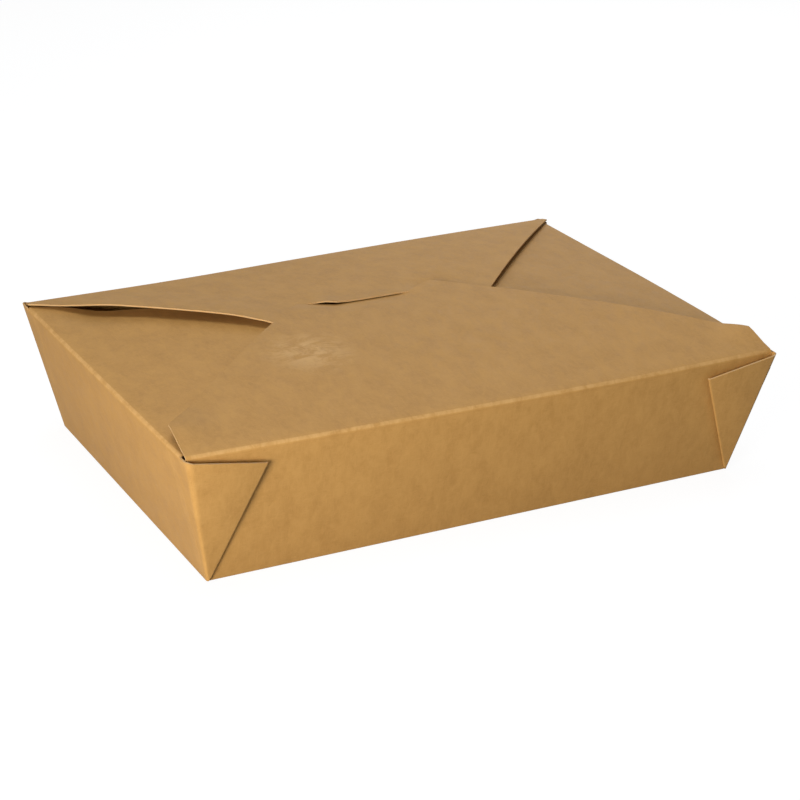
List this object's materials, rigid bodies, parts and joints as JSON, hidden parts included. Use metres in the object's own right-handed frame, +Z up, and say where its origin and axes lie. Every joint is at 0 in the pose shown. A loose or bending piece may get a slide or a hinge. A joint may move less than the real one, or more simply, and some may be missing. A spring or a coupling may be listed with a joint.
{
  "type": "folded paper food box",
  "caption": "Rectangular take-away food box folded from one sheet of kraft board, with flared walls, glued corner webs and a closed flap lid held by a tongue in a slit.",
  "frame": {"origin": "middle of the box's underside", "axes": "+X along the long walls, +Y towards the back wall, from which the slitted flap folds, +Z up through the lid"},
  "size_m": [0.2156, 0.1612, 0.0538],
  "materials": {
    "kraft_board": "matt unbleached brown kraft board with fine fibres, softly rounded creases and paler cut edges"
  },
  "bodies": {
    "box": {"folded_box": "kraft_board"},
    "front_flap": {"front_flap": "kraft_board"}
  },
  "joints": [
    {"name": "front_flap_crease", "type": "hinge", "parent": "box", "child": "front_flap", "pos_m": [0, -0.07975, 0.047], "axis": [1, 0, 0], "range_deg": [0, 200]}
  ]
}
